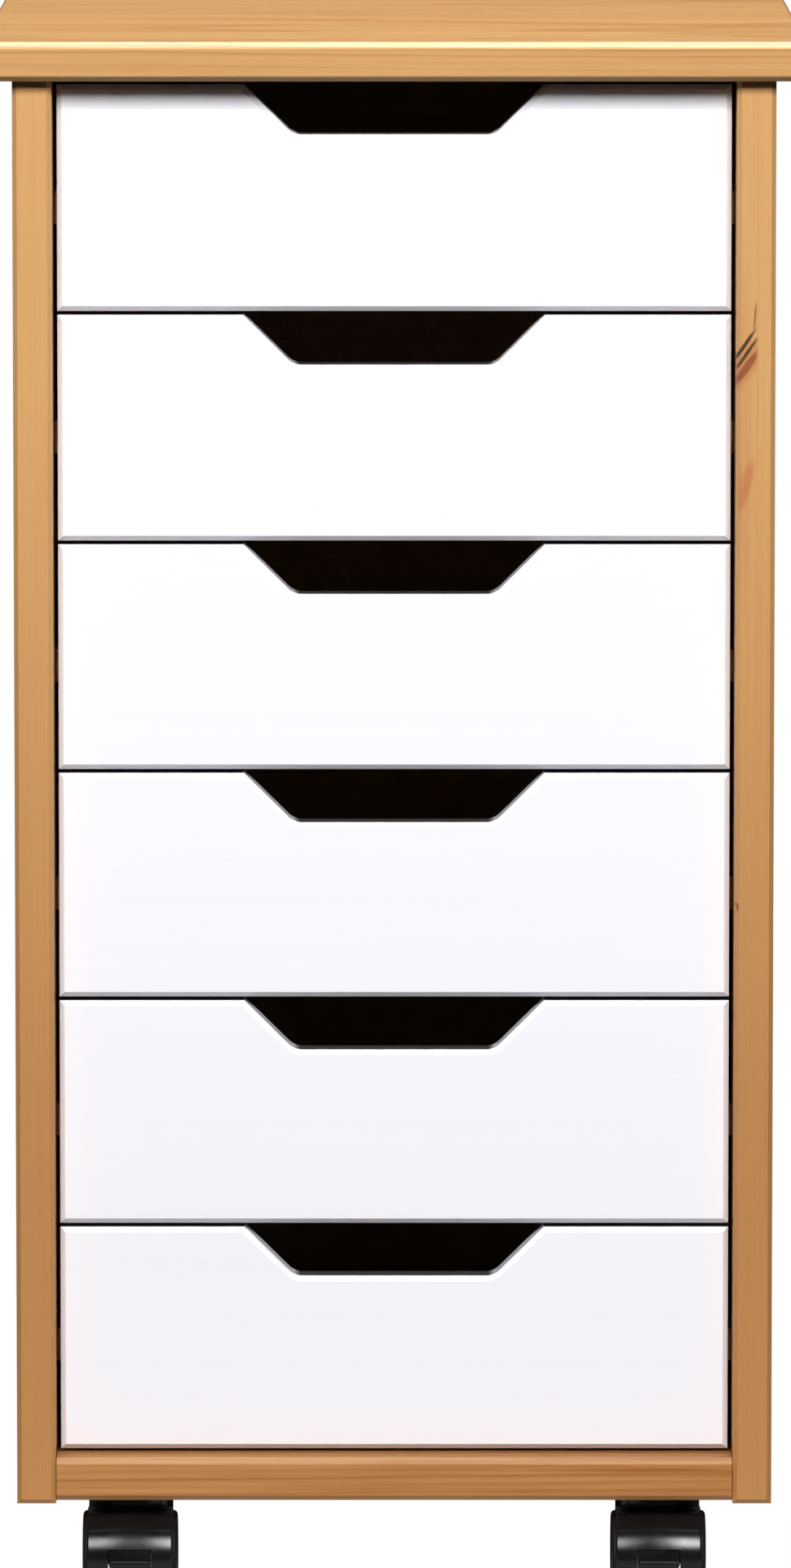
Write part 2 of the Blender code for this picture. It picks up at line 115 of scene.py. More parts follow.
class Nodes:
    """Adds nodes to one shader tree. A value in a call is a number, a colour, a vector or a Value."""

    def __init__(self, tree):
        self.tree = tree

    def link(self, value, socket):
        self.tree.links.new(value.socket, socket)

    def add(self, kind, values=(), output=0, **settings):
        made = self.tree.nodes.new("ShaderNode" + kind)
        for name, setting in settings.items():
            setattr(made, name, setting)
        for name, value in dict(values).items():
            if isinstance(value, Value):
                self.link(value, made.inputs[name])
            else:
                made.inputs[name].default_value = value
        return Value(self, made.outputs[output])

    def by_name(self, node):
        """All outputs of a node."""
        return {socket.name: Value(self, socket) for socket in node.outputs}

    def group(self, name, values):
        placed = self.add("Group", values, node_tree=bpy.data.node_groups[name])
        return self.by_name(placed.socket.node)

    def math(self, operation, *values):
        return self.add("Math", enumerate(values), operation=operation)

    def split(self, vector):
        parts = self.add("SeparateXYZ", {"Vector": vector})
        return self.by_name(parts.socket.node).values()

    def join(self, x, y, z):
        return self.add("CombineXYZ", {"X": x, "Y": y, "Z": z})

    def length(self, vector):
        return self.add("VectorMath", {0: vector}, output="Value", operation="LENGTH")

    def turned(self, vector, rotation):
        return self.add("Mapping", {"Vector": vector, "Rotation": rotation})

    def noise(self, vector, scale, detail=2.0, roughness=0.5):
        """A noise from 0 to 1, with a scale of its own along each axis."""
        stretched = self.add("VectorMath", {0: vector, 1: scale}, operation="MULTIPLY")
        values = {"Vector": stretched, "Scale": 1.0, "Detail": detail, "Roughness": roughness}
        return self.add("TexNoise", values)

    def ranged(self, value, low, high, to_low=0.0, to_high=1.0, smooth=False):
        values = {"Value": value, "From Min": low, "From Max": high, "To Min": to_low, "To Max": to_high}
        kind = "SMOOTHSTEP" if smooth else "LINEAR"
        return self.add("MapRange", values, interpolation_type=kind)

    def mixed(self, factor, first, second, blend="MIX"):
        values = {0: factor, 6: first, 7: second}
        return self.add("Mix", values, output=2, data_type="RGBA", blend_type=blend, clamp_factor=True)

    def tinted(self, tone, tint, factor=1.0):
        return self.mixed(factor, tone, tint, blend="MULTIPLY")

    def ramp(self, value, stops):
        made = self.add("ValToRGB", {"Fac": value})
        elements = made.socket.node.color_ramp.elements
        while len(elements) < len(stops):
            elements.new(0.5)
        for element, (place, level) in zip(elements, stops):
            element.position = place
            element.color = (level, level, level, 1.0)
        return made


# %% [markdown]
# ## Grain
# A pine panel is glued up from staves. Growth rings are cylinders round a log's pith, so a stave shows lines
# that are nearly straight where the pith is far off, and long arches where it is near. The group below
# gives every stave a pith line at random and counts the rings outwards from it. A stretched noise would be
# shorter, but its lines would not turn the corner at an edge, and these do.

# %% The grain of glued pine as a node group
grain_inputs = {
    "Vector": (0.0, 0.0, 0.0),
    "Stave Width": 0.055,
    "Ring Spacing": 0.0031,
    "Seed": 0.0,
    "Knots": 0.0,
}
stave_shift_along = 40.0  # how far apart two staves may look up their noises
stave_shift_across = 3.0
pith_spread = 0.13  # how far to the side a stave's pith may lie
pith_depth = 0.055  # and how far below its face
pith_least_depth = 0.016
pith_wander = 0.014
ring_waviness = 0.0016
ring_drift = 0.006  # good and bad years come in spells, so the spacing drifts
ring_profile = ((0.0, 0.35), (0.12, 0.0), (0.60, 0.15), (0.90, 1.0))  # from one year to the next
knot_cell = 0.40  # one knot at most in a square of this size, on a stave that happens to cross it
knot_row_shift = 1.7
knot_reach = 0.022
knot_push = 0.009
knot_core = (0.0035, 0.0065)
seam_edge = (0.492, 0.499)  # in shares of a stave's width from its middle


def make_grain_group():
    tree = bpy.data.node_groups.new("Pine grain", "ShaderNodeTree")
    for label, value in grain_inputs.items():
        kind = "NodeSocketVector" if isinstance(value, tuple) else "NodeSocketFloat"
        tree.interface.new_socket(label, in_out="INPUT", socket_type=kind).default_value = value
    nodes = Nodes(tree)
    given = nodes.by_name(tree.nodes.new("NodeGroupInput"))
    along, across, depth = nodes.split(given["Vector"])
    staves = across / given["Stave Width"] + given["Seed"]
    index = nodes.math("FLOOR", staves)
    share = nodes.math("FRACT", staves) - 0.5
    from_middle = share * given["Stave Width"]
    key = nodes.join(index, given["Seed"], 0.0)
    chance = nodes.add("TexWhiteNoise", {"Vector": key}, output="Color", noise_dimensions="2D")
    red, green, blue = nodes.split(chance)

    # every stave looks up its noises at a place of its own, so nothing runs on across a seam
    own_along = along + red * stave_shift_along
    own = nodes.join(own_along, across + blue * stave_shift_across, depth)
    own_across = index * knot_row_shift + from_middle / knot_cell
    knot_place = nodes.join(own_along / knot_cell, own_across, 0.0)
    cell = nodes.add("TexVoronoi", {"Vector": knot_place, "Scale": 1.0}, voronoi_dimensions="2D")
    knot_distance = cell * knot_cell
    near_knot = nodes.ranged(knot_distance, 0.0, knot_reach, 1.0, 0.0, smooth=True) * given["Knots"]

    def swing(scale, amount, detail=1.0):
        """A noise that swings about zero."""
        return (nodes.noise(own, scale, detail) - 0.5) * amount

    bend = swing((1.7, 0.1, 0.1), pith_wander)
    wave = swing((8.0, 50.0, 50.0), ring_waviness, detail=2.0)
    drift = swing((1.2, 22.0, 22.0), ring_drift)
    side = from_middle + (red - 0.5) * pith_spread + bend
    below = depth + pith_least_depth + green * pith_depth + bend
    radius = nodes.math("SQRT", side * side + below * below) + wave + drift + near_knot * knot_push
    rings = radius / given["Ring Spacing"]
    year = nodes.add("TexWhiteNoise", {"W": nodes.math("FLOOR", rings)}, noise_dimensions="1D")
    strength = year * year * 0.85 + 0.15
    patch = nodes.noise(own, (3.0, 24.0, 24.0))
    patches = nodes.ranged(patch, 0.42, 0.64, smooth=True)
    streak = nodes.noise(own, (4.5, 210.0, 210.0), 3.0, 0.55)

    results = {
        "Rings": nodes.ramp(nodes.math("FRACT", rings), ring_profile) * strength,
        "Streaks": nodes.ranged(streak, 0.50, 0.74, smooth=True) * patches,
        "Bands": nodes.noise(own, (7.0, 330.0, 330.0), 3.0, 0.6),
        "Fibres": nodes.noise(own, (16.0, 1100.0, 1100.0), 3.0, 0.6),
        "Drift": patch,
        "Stave": blue,
        "Seam": nodes.ranged(nodes.math("ABSOLUTE", share), *seam_edge),
        "Knot": nodes.ranged(knot_distance, *knot_core, 1.0, 0.0, smooth=True) * given["Knots"],
    }
    for label in results:
        tree.interface.new_socket(label, in_out="OUTPUT", socket_type="NodeSocketFloat")
    outcome = tree.nodes.new("NodeGroupOutput").inputs
    for label, value in results.items():
        nodes.link(value, outcome[label])


make_grain_group()
print("groups:", [group.name for group in bpy.data.node_groups])

# %% [markdown]
# ## Honey pine
# The carcase is stained a honey colour and lacquered to a satin sheen. Late wood takes the stain darker, so
# the rings drive the colour, though by little. The lacquer sinks into the grain a hair, which the bump
# shows in glancing light. The group wants the grain along X, so upright boards turn it.

# %% Honey pine
early_wood = (0.620, 0.352, 0.138, 1.0)
late_wood = (0.475, 0.222, 0.072, 1.0)
red_streak = (0.420, 0.165, 0.050, 1.0)
pale_stave = (1.03, 1.03, 1.04, 1.0)
dark_stave = (0.96, 0.95, 0.93, 1.0)
seam_tone = (0.80, 0.74, 0.66, 1.0)
seam_strength = 0.35
knot_tone = (0.22, 0.085, 0.030, 1.0)
# painted shade and light by height: a darker tint low down, and a lighter one at the top of the side boards
painted_low_shade = (0.86, 0.74, 0.65, 1.0)
no_painted_shade = (1.0, 1.0, 1.0, 1.0)
painted_light_top = (1.065, 1.065, 1.075, 1.0)
painted_shade_start = 0.58  # painted shade: the colour is drawn darker from this height down to this one
painted_shade_full = 0.24  # down to this one
fibre_contrast = 0.14
grain_upright = (0.0, math.pi / 2, 0.0)
grain_lying = (0.0, 0.0, 0.0)


def shader_inputs(nodes):
    return nodes.tree.nodes["Principled BSDF"].inputs


def make_material(name, paint, *choices, **more_choices):
    """A Principled material. paint gives its colour, its roughness, and its relief and how deep that is."""
    made = bpy.data.materials.new(name)
    made.use_nodes = True
    nodes = Nodes(made.node_tree)
    place = nodes.add("TexCoord", output="Object")
    tone, roughness, height, depth = paint(nodes, place, *choices, **more_choices)
    normal = nodes.add("Bump", {"Height": height, "Distance": depth, "Strength": 1.0})
    for label, value in (("Base Color", tone), ("Roughness", roughness), ("Normal", normal)):
        nodes.link(value, shader_inputs(nodes)[label])
    return made


def wood_tone(nodes, grain, early, late, contrast, fibre_contrast, banding=0.0):
    """The colour of bare grain: late wood where the rings are, with bands and fine fibres over it."""
    fibres = (grain["Fibres"] - 0.5) * fibre_contrast
    drift = (grain["Drift"] - 0.5) * contrast
    bands = (grain["Bands"] - 0.5) * banding
    factor = grain["Rings"] * contrast + fibres + drift + bands + fibre_contrast
    tone = nodes.mixed(factor, early, late)
    tone = nodes.tinted(tone, nodes.mixed(grain["Stave"], dark_stave, pale_stave))
    return nodes.mixed(grain["Knot"], tone, knot_tone)


def honey_pine(
    nodes, place, turn, seed, contrast, streaks, banding=0.0, high=no_painted_shade, knots=0.0, paint_more=None
):
    values = {"Vector": nodes.turned(place, turn), "Seed": seed, "Knots": knots}
    grain = nodes.group("Pine grain", values)
    tone = wood_tone(nodes, grain, early_wood, late_wood, contrast, fibre_contrast, banding)
    tone = nodes.mixed(grain["Streaks"] * streaks, tone, red_streak)
    tone = nodes.tinted(tone, seam_tone, grain["Seam"] * seam_strength)
    # painted shade: the colour darkens towards the bottom, and a tint given for the top can paint light
    # there
    _, _, height = nodes.split(place)
    height_shade = nodes.mixed(nodes.ranged(height, painted_shade_full, painted_shade_start, 1.0, 0.0), high, painted_low_shade)
    tone = nodes.tinted(tone, height_shade)
    if paint_more:
        tone = paint_more(nodes, place, tone)
    sheen = nodes.ranged(grain["Fibres"], 0.25, 0.75, 0.23, 0.34)
    return tone, sheen, grain["Rings"] * 0.5 + grain["Fibres"], 0.00006


# %% [markdown]
# ## Marks in the right-hand board
# The front edge of the right side shows two layers of wood. The inner one has a knot that the saw cut
# lengthwise, as two dark slanting streaks with reddish wood below, and a tiny second knot. Each mark is a
# soft ellipsoid: a Mapping node of the Texture kind makes it a unit ball, so its mask is a length.

# %% Marks in the right-hand board
layer_seam = 0.1667  # X of the joint between the two layers
layer_seam_width = 0.0004
mark_depth = 0.045
mark_core = 0.45  # a mark has its full strength up to this share of its reach
bark = (0.060, 0.032, 0.016, 1.0)
red_heart = (0.260, 0.075, 0.030, 1.0)
pink_wood = (0.520, 0.200, 0.080, 1.0)
marks = (
    # X, Z, half length, half width, slant in degrees from upright, tone, strength
    (0.1605, 0.5450, 0.1000, 0.0048, 0.0, pink_wood, 0.24),
    (0.1612, 0.5790, 0.0180, 0.0070, 32.0, pink_wood, 0.65),
    (0.1616, 0.5775, 0.0125, 0.0023, 34.0, red_heart, 0.85),
    (0.1606, 0.5876, 0.0125, 0.0012, 34.0, bark, 0.95),
    (0.1616, 0.5838, 0.0125, 0.0011, 34.0, bark, 0.90),
    (0.1655, 0.6010, 0.0085, 0.0007, 4.0, red_heart, 0.75),
    (0.1624, 0.5265, 0.0110, 0.0032, 12.0, pink_wood, 0.75),
    (0.1608, 0.5185, 0.0090, 0.0024, 16.0, pink_wood, 0.80),
    (0.1590, 0.5215, 0.0150, 0.0010, 0.0, pink_wood, 0.60),
    (0.1584, 0.3275, 0.0024, 0.0007, 0.0, red_heart, 0.95),
    (0.1576, 0.3290, 0.0008, 0.0014, 0.0, bark, 0.60),
)


def paint_marks(nodes, place, tone):
    x, _, _ = nodes.split(place)
    inner_layer = nodes.math("LESS_THAN", x, layer_seam)
    for mark_x, mark_z, half_length, half_width, slant, colour, strength in marks:
        ball = {
            "Vector": place,
            "Location": (mark_x, front_plane, mark_z),
            "Rotation": (0.0, math.radians(slant), 0.0),
            "Scale": (half_width, mark_depth, half_length),
        }
        reach = nodes.length(nodes.add("Mapping", ball, vector_type="TEXTURE"))
        mask = nodes.ranged(reach, mark_core, 1.0, strength, 0.0, smooth=True)
        tone = nodes.mixed(mask * inner_layer, tone, colour)
    seam = nodes.math("ABSOLUTE", x - layer_seam)
    line = nodes.ranged(seam, 0.0, layer_seam_width, 0.35, 0.0)
    return nodes.mixed(line, tone, late_wood)


# %% [markdown]
# ## Painted shade on the top's lower faces
# The picture shows the top's lower chamfer nearly black. A lamp can't darken one narrow face alone, so the
# material paints the shade on. Geometry's Normal tells it which faces look down, wherever the camera stands.

# %% Board materials
painted_underside_shade = (0.02, 0.01, 0.005, 1.0)


def looking_up(nodes):
    """1 on faces that look straight up, 0 on upright ones and -1 on those that look down."""
    _, _, up = nodes.split(nodes.add("NewGeometry", output="Normal"))
    return up


# painted shade on every face of the top that looks down
def paint_shade_below(nodes, place, tone):
    below = nodes.ranged(looking_up(nodes), -0.75, -0.30, 0.68, 0.0)
    return nodes.tinted(tone, painted_underside_shade, below)


pine_top = make_material(
    "pine_top", honey_pine, grain_lying, 3.0, 0.60, 1.0, banding=1.0, paint_more=paint_shade_below
)
pine_base = make_material("pine_base", honey_pine, grain_lying, 6.85, 1.0, 1.0, banding=2.0)
# the side boards take painted light: their upper parts are drawn lighter
pine_left = make_material("pine_left", honey_pine, grain_upright, 5.2, 0.16, 0.15, 0.2, painted_light_top, 0.9)
pine_right = make_material(
    "pine_right", honey_pine, grain_upright, 12.7, 0.20, 0.35, 0.3, painted_light_top, 0.9, paint_marks
)

# %% [markdown]
# ## White lacquer
# The fronts are pine too, under a white lacquer with a trace of violet. The grain only telegraphs through,
# in long faint ridges, so the same group is used with a weaker hand. The picture shows grey lower edges
# and dark upper ones, and the material paints that shade: grey on faces that look down, and near black on
# faces that look up, the top edges and cutout floors that sit in the gaps between the fronts.

# %% White lacquer
lacquer_bright = (0.955, 0.944, 0.990, 1.0)
lacquer_shade = (0.912, 0.900, 0.955, 1.0)
painted_shade_down_faces = (0.30, 0.30, 0.31, 1.0)
painted_gap_shade = (0.095, 0.088, 0.082, 1.0)


def white_lacquer(nodes, place):
    values = {"Vector": place, "Seed": 21.4, "Stave Width": 0.30, "Ring Spacing": 0.0046}
    grain = nodes.group("Pine grain", values)
    drift = nodes.noise(place, (3.0, 20.0, 26.0), 3.0, 0.6)
    tone = nodes.mixed(grain["Rings"] * 0.30 + drift * 0.6, lacquer_bright, lacquer_shade)
    up = looking_up(nodes)
    # painted shade: faces that look down are drawn grey
    tone = nodes.tinted(tone, painted_shade_down_faces, nodes.ranged(up, -1.0, -0.4, 0.75, 0.0))
    # painted shade: faces that look up, the top edges and cutout floors in the gaps, are drawn near black
    tone = nodes.mixed(nodes.ranged(up, 0.90, 0.99), tone, painted_gap_shade)
    sheen = nodes.ranged(drift, 0.3, 0.7, 0.30, 0.38)
    return tone, sheen, grain["Rings"] * 0.6 + grain["Fibres"] * 0.4, 0.00005


lacquer = make_material("white_lacquer", white_lacquer)

# %% [markdown]
# ## Unstained wood and hardboard
# The inside of a drawer is plain sanded pine, and the runner strips are beech, which is finer, with short
# dark flecks. Drawer bottoms and the back are hardboard, pressed from brown fibres that lie in every
# direction, so its pattern is a fine speckle without any grain.

# %% Plain pine, beech and hardboard
plain_early = (0.760, 0.585, 0.370, 1.0)
plain_late = (0.560, 0.350, 0.170, 1.0)
beech_pale = (0.640, 0.420, 0.270, 1.0)
beech_fleck = (0.400, 0.215, 0.115, 1.0)
fibre_pale = (0.360, 0.215, 0.115, 1.0)
fibre_dark = (0.190, 0.100, 0.050, 1.0)
grain_to_back = (0.0, 0.0, math.pi / 2)


def plain_pine(nodes, place, turn, seed):
    vector = nodes.turned(place, turn)
    values = {"Vector": vector, "Seed": seed, "Stave Width": 0.12, "Ring Spacing": 0.0032}
    grain = nodes.group("Pine grain", values)
    tone = wood_tone(nodes, grain, plain_early, plain_late, 0.50, 0.20)
    return tone, nodes.ranged(grain["Fibres"], 0.3, 0.7, 0.50, 0.62), grain["Fibres"], 0.00008


def beech(nodes, place):
    fleck = nodes.noise(place, (1500.0, 190.0, 1500.0), 1.0)
    drift = nodes.noise(place, (90.0, 4.0, 90.0), 3.0)
    factor = nodes.ranged(fleck, 0.60, 0.70, 0.0, 0.7) + drift * 0.25
    tone = nodes.mixed(factor, beech_pale, beech_fleck)
    return tone, nodes.ranged(drift, 0.3, 0.7, 0.40, 0.52), fleck, 0.00005


def hardboard(nodes, place):
    speckle = nodes.noise(place, (900.0, 900.0, 900.0), 4.0, 0.7)
    cloud = nodes.noise(place, (14.0, 14.0, 14.0), 3.0)
    factor = nodes.ranged(speckle, 0.3, 0.7, 0.0, 0.8) + cloud * 0.3
    tone = nodes.mixed(factor, fibre_pale, fibre_dark)
    return tone, nodes.ranged(speckle, 0.3, 0.7, 0.50, 0.70), speckle, 0.00010


pine_box_side = make_material("plain_pine_side", plain_pine, grain_to_back, 1.7)
pine_box_back = make_material("plain_pine_back", plain_pine, grain_lying, 6.3)
beech_strip = make_material("beech", beech)
brown_board = make_material("hardboard", hardboard)

# %% [markdown]
# ## Plastic and steel
# The hood is moulded in a glossy black plastic, with a faint orange peel and a gloss that varies a little.
# The wheels are duller, and their treads pick up grey dust. A mask painted on a wheel's own vertices tells
# the tread from the sides, so one material serves all eight. Plates, axles and screws are zinc plated
# steel, a mirror that is roughened in small patches, where the zinc crystals lie.

# %% Plastic and steel
hood_black = (0.0040, 0.0040, 0.0048, 1.0)
hood_grey = (0.0085, 0.0085, 0.0098, 1.0)
wheel_black = (0.0045, 0.0045, 0.0047, 1.0)
wheel_dust = (0.012, 0.0115, 0.011, 1.0)
zinc_bright = (0.640, 0.645, 0.640, 1.0)
zinc_dull = (0.480, 0.490, 0.500, 1.0)


def glossy_plastic(nodes, place):
    cloud = nodes.noise(place, (120.0, 120.0, 120.0), 3.0)
    peel = nodes.noise(place, (1400.0, 1400.0, 1400.0), 1.0)
    tone = nodes.mixed(cloud, hood_black, hood_grey)
    return tone, nodes.ranged(cloud, 0.3, 0.7, 0.15, 0.21), peel, 0.000012


def dull_plastic(nodes, place):
    shader_inputs(nodes)["Specular IOR Level"].default_value = 0.25
    tread = nodes.add("Attribute", output="Fac", attribute_name="tread")
    dust = nodes.noise(place, (300.0, 300.0, 300.0), 4.0, 0.65)
    worn = tread * nodes.ranged(dust, 0.35, 0.70, 0.15, 0.9)
    tone = nodes.mixed(worn, wheel_black, wheel_dust)
    return tone, worn * 0.35 + 0.40, dust, 0.00002


def zinc_steel(nodes, place):
    shader_inputs(nodes)["Metallic"].default_value = 1.0
    crystals = nodes.add("TexVoronoi", {"Vector": place, "Scale": 420.0}, output="Color")
    patch, _, _ = nodes.split(crystals)
    tone = nodes.mixed(patch * 0.8, zinc_bright, zinc_dull)
    scuffs = nodes.noise(place, (200.0, 2500.0, 900.0))
    return tone, nodes.ranged(patch, 0.0, 1.0, 0.26, 0.40), scuffs, 0.00001


hood_plastic = make_material("castor_plastic", glossy_plastic)
tyre_plastic = make_material("wheel_plastic", dull_plastic)
steel = make_material("zinc_steel", zinc_steel)
print("materials:", [made.name for made in bpy.data.materials if made.users])

# %% [markdown]
# ## Short calls for meshes
# Every piece starts as a bmesh that operators shape, and becomes an object that rides on one body of the
# cart. A rounded board has large flat faces beside narrow curved ones. Plain smooth shading would bend the
# light over the flats, so a Weighted Normal modifier lets the big faces decide.

# %% Helpers for meshes
crease_angle = math.radians(32.0)
overrun = 0.004  # how far a cutter runs past what it cuts
touch = 1e-6


def block(low, high):
    """A box between two corners."""
    bm = bmesh.new()
    low, high = Vector(low), Vector(high)
    bmesh.ops.create_cube(bm, size=1.0)
    bmesh.ops.scale(bm, vec=high - low, verts=bm.verts)
    bmesh.ops.translate(bm, vec=(high + low) / 2, verts=bm.verts)
    return bm


def disc(radius, start, end, steps):
    """A round bar between two points."""
    bm = bmesh.new()
    start, end = Vector(start), Vector(end)
    length = (end - start).length
    bmesh.ops.create_cone(bm, cap_ends=True, segments=steps, radius1=radius, radius2=radius, depth=length)
    turn = (end - start).to_track_quat("Z", "Y").to_matrix().to_4x4()
    bmesh.ops.transform(bm, matrix=Matrix.Translation((start + end) / 2) @ turn, verts=bm.verts)
    return bm


def extruded(corners, reach):
    """A flat outline made solid along a vector."""
    bm = bmesh.new()
    face = bm.faces.new([bm.verts.new(corner) for corner in corners])
    grown = bmesh.ops.extrude_face_region(bm, geom=[face])["geom"]
    verts = [item for item in grown if isinstance(item, bmesh.types.BMVert)]
    bmesh.ops.translate(bm, vec=reach, verts=verts)
    return face_out(bm)


def bevelled(bm, edges, size, segments=1):
    bmesh.ops.bevel(bm, geom=edges, offset=size, segments=segments, profile=0.5, affect="EDGES", material=-1)
    return bm


def soften(bm, size, chosen, segments=1):
    """Rounds the edges whose two ends pass a test. One segment makes a flat chamfer."""
    edges = [edge for edge in bm.edges if all(chosen(vert.co) for vert in edge.verts)]
    return bevelled(bm, edges, size, segments)


def face_out(bm):
    bmesh.ops.recalc_face_normals(bm, faces=bm.faces)
    if bm.calc_volume(signed=True) < 0:
        bmesh.ops.reverse_faces(bm, faces=bm.faces)
    return bm


def moved(bm, offset):
    """A copy of a bmesh at another place."""
    made = bm.copy()
    bmesh.ops.translate(made, vec=offset, verts=made.verts)
    return made


def mesh_object(name, bm):
    """Makes a bmesh an object, and frees the bmesh."""
    mesh = bpy.data.meshes.new(name)
    bm.to_mesh(mesh)
    bm.free()
    return scene_object(name, mesh)


def carved(base, joined=(), cut=()):
    """Joins solids to a base solid, then cuts others from it."""
    result = mesh_object("base", base)
    tools = [("UNION", mesh_object("tool", bm)) for bm in joined]
    tools += [("DIFFERENCE", mesh_object("tool", bm)) for bm in cut]
    for operation, tool in tools:
        modifier = result.modifiers.new(operation, "BOOLEAN")
        modifier.operation = operation
        modifier.object = tool
    graph = bpy.context.evaluated_depsgraph_get()
    mesh = bpy.data.meshes.new_from_object(result.evaluated_get(graph))
    bm = bmesh.new()
    bm.from_mesh(mesh)
    bpy.data.meshes.remove(mesh)
    for helper in [result] + [tool for _, tool in tools]:
        bpy.data.meshes.remove(helper.data)
    return bm


def add_piece(name, bm, material, body, replaced=()):
    """Makes a bmesh a piece of the cart that rides on a body and may stand for CAD nodes."""
    made = mesh_object(name, bm)
    made.data.materials.append(material)
    made.data.shade_smooth()
    made.data.set_sharp_from_angle(angle=crease_angle)
    made.modifiers.new("shading", "WEIGHTED_NORMAL").keep_sharp = True
    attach(made, body)
    if replaced:
        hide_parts(*replaced)
    return made


def near(value, place):
    return abs(value - place) < touch


# %% [markdown]
# ## The carcase boards
# The boards have narrow flat chamfers, the mark of a router with a 45 degree bit. They show as crisp lines,
# bright where they look up and dark where they look down, so each is one facet with hard edges. The boxes
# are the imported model's own, so nothing changes size. That model holds a side and its six runner strips as
# one solid. Here they are pieces of their own, because the strips are another wood.

# %% Top and base
top_corner = 0.0006
top_upper_chamfer = 0.0027
top_lower_chamfer = 0.0024
base_upper_chamfer = 0.0028
base_lower_chamfer = 0.0025

top_low, top_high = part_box("top_panel")
top_board = block(top_low, top_high)
soften(top_board, top_upper_chamfer, lambda co: near(co.z, top_high.z))
soften(top_board, top_lower_chamfer, lambda co: near(co.z, top_low.z))
soften(top_board, top_corner, lambda co: near(abs(co.x), top_high.x) and near(abs(co.y), top_high.y), 2)
add_piece("top_board", top_board, pine_top, "carcase", ["top_panel"])

base_low, base_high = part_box("base_panel")
base_board = block(base_low, base_high)
soften(base_board, base_upper_chamfer, lambda co: near(co.y, base_low.y) and near(co.z, base_high.z))
soften(base_board, base_lower_chamfer, lambda co: near(co.y, base_low.y) and near(co.z, base_low.z))
add_piece("base_board", base_board, pine_base, "carcase", ["base_panel"])

# %% Side panels and runner strips
board = 0.018
side_chamfer = 0.0021
runner_rise = 0.031  # from a drawer side's lower edge
runner_height = 0.015
runner_front_gap = 0.0003
runner_rear_margin = 0.010
runner_ease = 0.0008
drawer_count = 6


def side_boards(side, name, material):
    """One side panel and its strips. side is -1 on the left and 1 on the right."""
    low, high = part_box(name)
    tip, outer = (low.x, high.x) if side > 0 else (high.x, low.x)
    inner = outer - side * board
    bm = block((min(inner, outer), low.y, low.z), (max(inner, outer), high.y, high.z))
    front_edges = [edge for edge in bm.edges if all(near(vert.co.y, low.y) for vert in edge.verts)]
    front_edges = [edge for edge in front_edges if min(vert.co.z for vert in edge.verts) < high.z - touch]
    bevelled(bm, front_edges, side_chamfer)
    add_piece(f"{name}_board", bm, material, "carcase", [name])
    strip_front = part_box("drawer_1_front")[1].y + runner_front_gap
    for number in range(1, drawer_count + 1):
        strip_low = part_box(f"drawer_{number}_side_left")[0].z + runner_rise
        strip = block(
            (min(tip, inner), strip_front, strip_low),
            (max(tip, inner), high.y - runner_rear_margin, strip_low + runner_height),
        )
        soften(strip, runner_ease, lambda co: near(co.x, tip), 3)
        label = "left" if side < 0 else "right"
        add_piece(f"runner_{number}_{label}", strip, beech_strip, "carcase")


side_boards(-1, "side_panel_left", pine_left)
side_boards(1, "side_panel_right", pine_right)

# %% [markdown]
# ## The drawer fronts
# A front is a board with a finger cutout in its top edge and a chamfer along all its front edges, the
# cutout's too. The mesh is made in the order of the work: the outline from eight corners, then the cutout's
# two lower corners, the chamfer, and the groove for the bottom. All six are alike, so one is shaped and
# then moved to each place.

# %% Drawer fronts
cutout_top_width = 0.139
cutout_floor_width = 0.0925
cutout_depth = 0.023
cutout_corner_radius = 0.008
cutout_corner_segments = 10
front_chamfer = 0.0024
rear_ease = 0.0008
bottom_play = 0.0003


def front_board():
    """The lowest drawer's front, with its groove."""
    low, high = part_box(f"drawer_{drawer_count}_front")
    floor = high.z - cutout_depth
    right_side = [(cutout_floor_width / 2, floor), (cutout_top_width / 2, high.z)]
    right_side += [(high.x, high.z), (high.x, low.z)]
    outline = right_side + [(-x, z) for x, z in reversed(right_side)]
    bm = extruded([(x, low.y, z) for x, z in outline], (0, high.y - low.y, 0))
    turn = math.atan2(cutout_depth, (cutout_top_width - cutout_floor_width) / 2)
    corner_verts = [
        vert for vert in bm.verts if near(abs(vert.co.x), cutout_floor_width / 2) and near(vert.co.z, floor)
    ]
    corners = [edge for edge in bm.edges if all(vert in corner_verts for vert in edge.verts)]
    corners = [edge for edge in corners if near(edge.verts[0].co.x, edge.verts[1].co.x)]
    bevelled(bm, corners, cutout_corner_radius * math.tan(turn / 2), cutout_corner_segments)
    soften(bm, front_chamfer, lambda co: near(co.y, low.y))
    soften(bm, rear_ease, lambda co: near(co.y, high.y), 2)
    bottom_low, bottom_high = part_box(f"drawer_{drawer_count}_bottom")
    play = Vector((bottom_play, bottom_play, bottom_play))
    groove = block(bottom_low - play, bottom_high + play)
    return carved(bm, cut=[groove])


lowest_front = front_board()
lowest_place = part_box(f"drawer_{drawer_count}_front")[0]
for number in range(1, drawer_count + 1):
    node = f"drawer_{number}_front"
    front = moved(lowest_front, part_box(node)[0] - lowest_place)
    add_piece(f"{node}_board", front, lacquer, f"drawer_{number}", [node])
print("a drawer front has", len(lowest_front.faces), "faces")
lowest_front.free()

# %% [markdown]
# ## The drawer boxes, the back and the plates
# These are flat boards and sheets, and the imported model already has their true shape, grooves included.
# They keep it and only take a better material.

